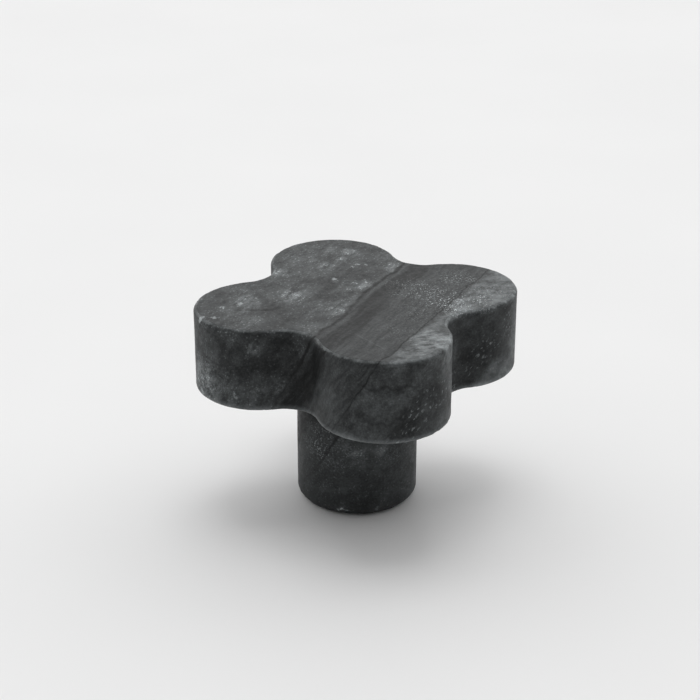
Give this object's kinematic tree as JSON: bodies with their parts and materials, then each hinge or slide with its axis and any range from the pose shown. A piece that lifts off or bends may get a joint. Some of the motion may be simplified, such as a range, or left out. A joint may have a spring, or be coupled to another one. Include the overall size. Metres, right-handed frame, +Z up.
{
  "type": "shower screen knob",
  "caption": "Clover-shaped knob of honed dark stone on a round stem, with a threaded brass insert in its foot, for a stud through a glass shower screen.",
  "frame": {"origin": "centre of the foot, on the plane that the knob stands on", "axes": "+Z up the stem towards the head, with the lobes on the X and Y axes; -Y is the lobe nearest the picture's camera"},
  "size_m": [0.0534, 0.0534, 0.0353],
  "materials": {
    "stone": "honed dark grey marble with fine dark seams and pale clouding",
    "brass": "turned and knurled, dull"
  },
  "bodies": {
    "root": {"stone_knob": "stone", "threaded_insert": "brass"}
  },
  "joints": []
}
